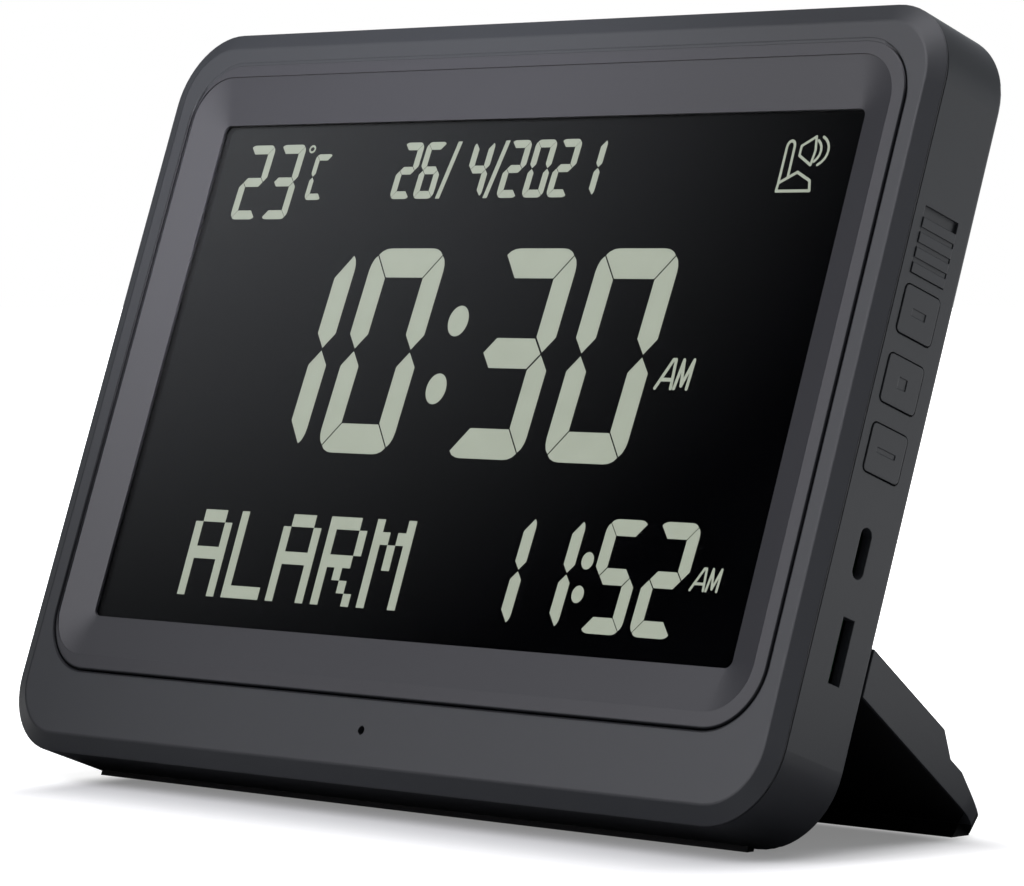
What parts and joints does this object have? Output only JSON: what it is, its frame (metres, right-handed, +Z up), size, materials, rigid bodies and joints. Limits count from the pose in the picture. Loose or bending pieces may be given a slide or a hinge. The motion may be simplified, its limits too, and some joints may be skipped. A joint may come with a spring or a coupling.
{
  "type": "desk clock",
  "caption": "Rectangular desk clock with a sloped bezel around a segment display, side keys and slots, leaning back on a wide fold-out stand.",
  "frame": {"origin": "middle of the case foot's sole, on the surface the clock stands on", "axes": "+X to the right seen from the front, the display faces -Y and leans back towards +Y, +Z up"},
  "size_m": [0.2002, 0.0652, 0.1445],
  "materials": {
    "charcoal_plastic": "satin, fine moulded grain",
    "black_plastic": "satin",
    "clear_lens": "polished, hard coated",
    "display_glass": "polished",
    "clear_acrylic": "clear, etched back",
    "white_plastic": "matte",
    "circuit_board": "satin solder mask",
    "component_black": "matte moulded",
    "led_body": "gloss",
    "plated_steel": "nickel plated",
    "black_screw": "black oxide",
    "soft_rubber": "matte",
    "silicone": "matte",
    "cell_foil": "satin foil",
    "adhesive_tape": "matte",
    "foam": "open foam",
    "paper_cone": "pressed paper",
    "magnet_steel": "polished",
    "red_insulation": "gloss"
  },
  "bodies": {
    "case": {"front_frame": "charcoal_plastic", "display_bezel": "charcoal_plastic", "display_lens": "clear_lens", "lcd_panel": "display_glass", "light_guide": "clear_acrylic", "reflector_sheet": "white_plastic", "backlight_strip": "circuit_board", "backlight_leds": "led_body", "lcd_holder": "white_plastic", "holder_screws": "plated_steel", "contact_strip": "silicone", "main_board": "circuit_board", "board_screws": "plated_steel", "control_chip": "component_black", "sound_chip": "component_black", "memory_chip": "component_black", "quartz_crystal": "plated_steel", "temperature_sensor": "component_black", "usb_socket": "plated_steel", "usb_tongue": "component_black", "card_socket": "component_black", "key_board": "circuit_board", "board_plug": "white_plastic", "push_switches": "component_black", "slide_switch": "plated_steel", "cell_tape": "adhesive_tape", "battery_cell": "cell_foil", "speaker_gasket": "foam", "speaker_basket": "plated_steel", "speaker_magnet": "magnet_steel", "speaker_cone": "paper_cone", "battery_lead": "red_insulation", "speaker_lead": "red_insulation", "rear_cover": "charcoal_plastic", "case_screws": "black_screw", "case_foot": "soft_rubber", "hinge_pins": "plated_steel", "friction_washers": "plated_steel"},
    "stand": {"stand_flap": "charcoal_plastic", "stand_inner_plate": "black_plastic", "stand_tip": "soft_rubber"},
    "down_key": {"down_key": "charcoal_plastic", "down_plunger": "black_plastic"},
    "set_key": {"set_key": "charcoal_plastic", "set_plunger": "black_plastic"},
    "up_key": {"up_key": "charcoal_plastic", "up_plunger": "black_plastic"},
    "power_slider": {"power_slider": "charcoal_plastic", "slide_lever": "black_plastic"}
  },
  "joints": [
    {"name": "stand_fold", "type": "hinge", "parent": "case", "child": "stand", "pos_m": [0, 0.01446, 0.03466], "axis": [1, 0, 0], "range_deg": [0, 109]},
    {"name": "down_key_press", "type": "slide", "parent": "case", "child": "down_key", "axis": [-1, 0, 0], "range_m": [0, 0.0005], "stiffness_N_per_m": 2600},
    {"name": "set_key_press", "type": "slide", "parent": "case", "child": "set_key", "axis": [-1, 0, 0], "range_m": [0, 0.0005], "stiffness_N_per_m": 2600},
    {"name": "up_key_press", "type": "slide", "parent": "case", "child": "up_key", "axis": [-1, 0, 0], "range_m": [0, 0.0005], "stiffness_N_per_m": 2600},
    {"name": "power_slide", "type": "slide", "parent": "case", "child": "power_slider", "axis": [0, 0.3404, 0.9403], "range_m": [0, 0.002]}
  ]
}
